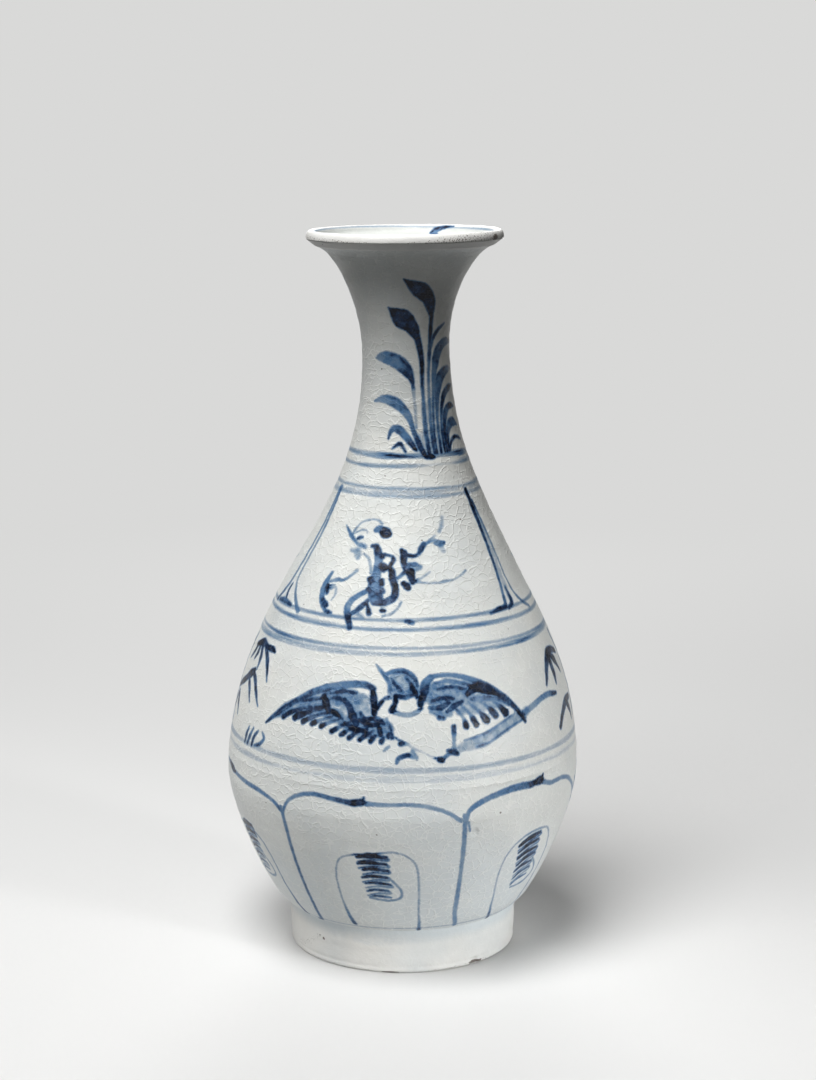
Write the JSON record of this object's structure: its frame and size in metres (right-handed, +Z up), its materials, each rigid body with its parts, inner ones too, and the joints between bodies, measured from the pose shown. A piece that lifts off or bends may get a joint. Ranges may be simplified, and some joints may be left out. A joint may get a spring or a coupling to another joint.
{
  "type": "stoneware vase",
  "caption": "Pear-shaped glazed stoneware bottle vase with a narrow neck, a flared rolled lip and a low foot ring, made of sections luted together.",
  "frame": {"origin": "centre of the foot, on the standing face", "axes": "+Z up along the vase's axis; -Y towards the front of the decoration; +X to the right of it"},
  "size_m": [0.132, 0.132, 0.27],
  "materials": {
    "body_glaze": "crackled off-white glaze over cobalt brushwork",
    "lip_glaze": "thick off-white glaze, rubbed thin on the roll",
    "foot_glaze": "thin dry glaze, satin"
  },
  "bodies": {
    "root": {"foot_ring": "foot_glaze", "lower_body": "body_glaze", "upper_body": "body_glaze", "neck": "body_glaze", "lip_ring": "lip_glaze"}
  },
  "joints": []
}
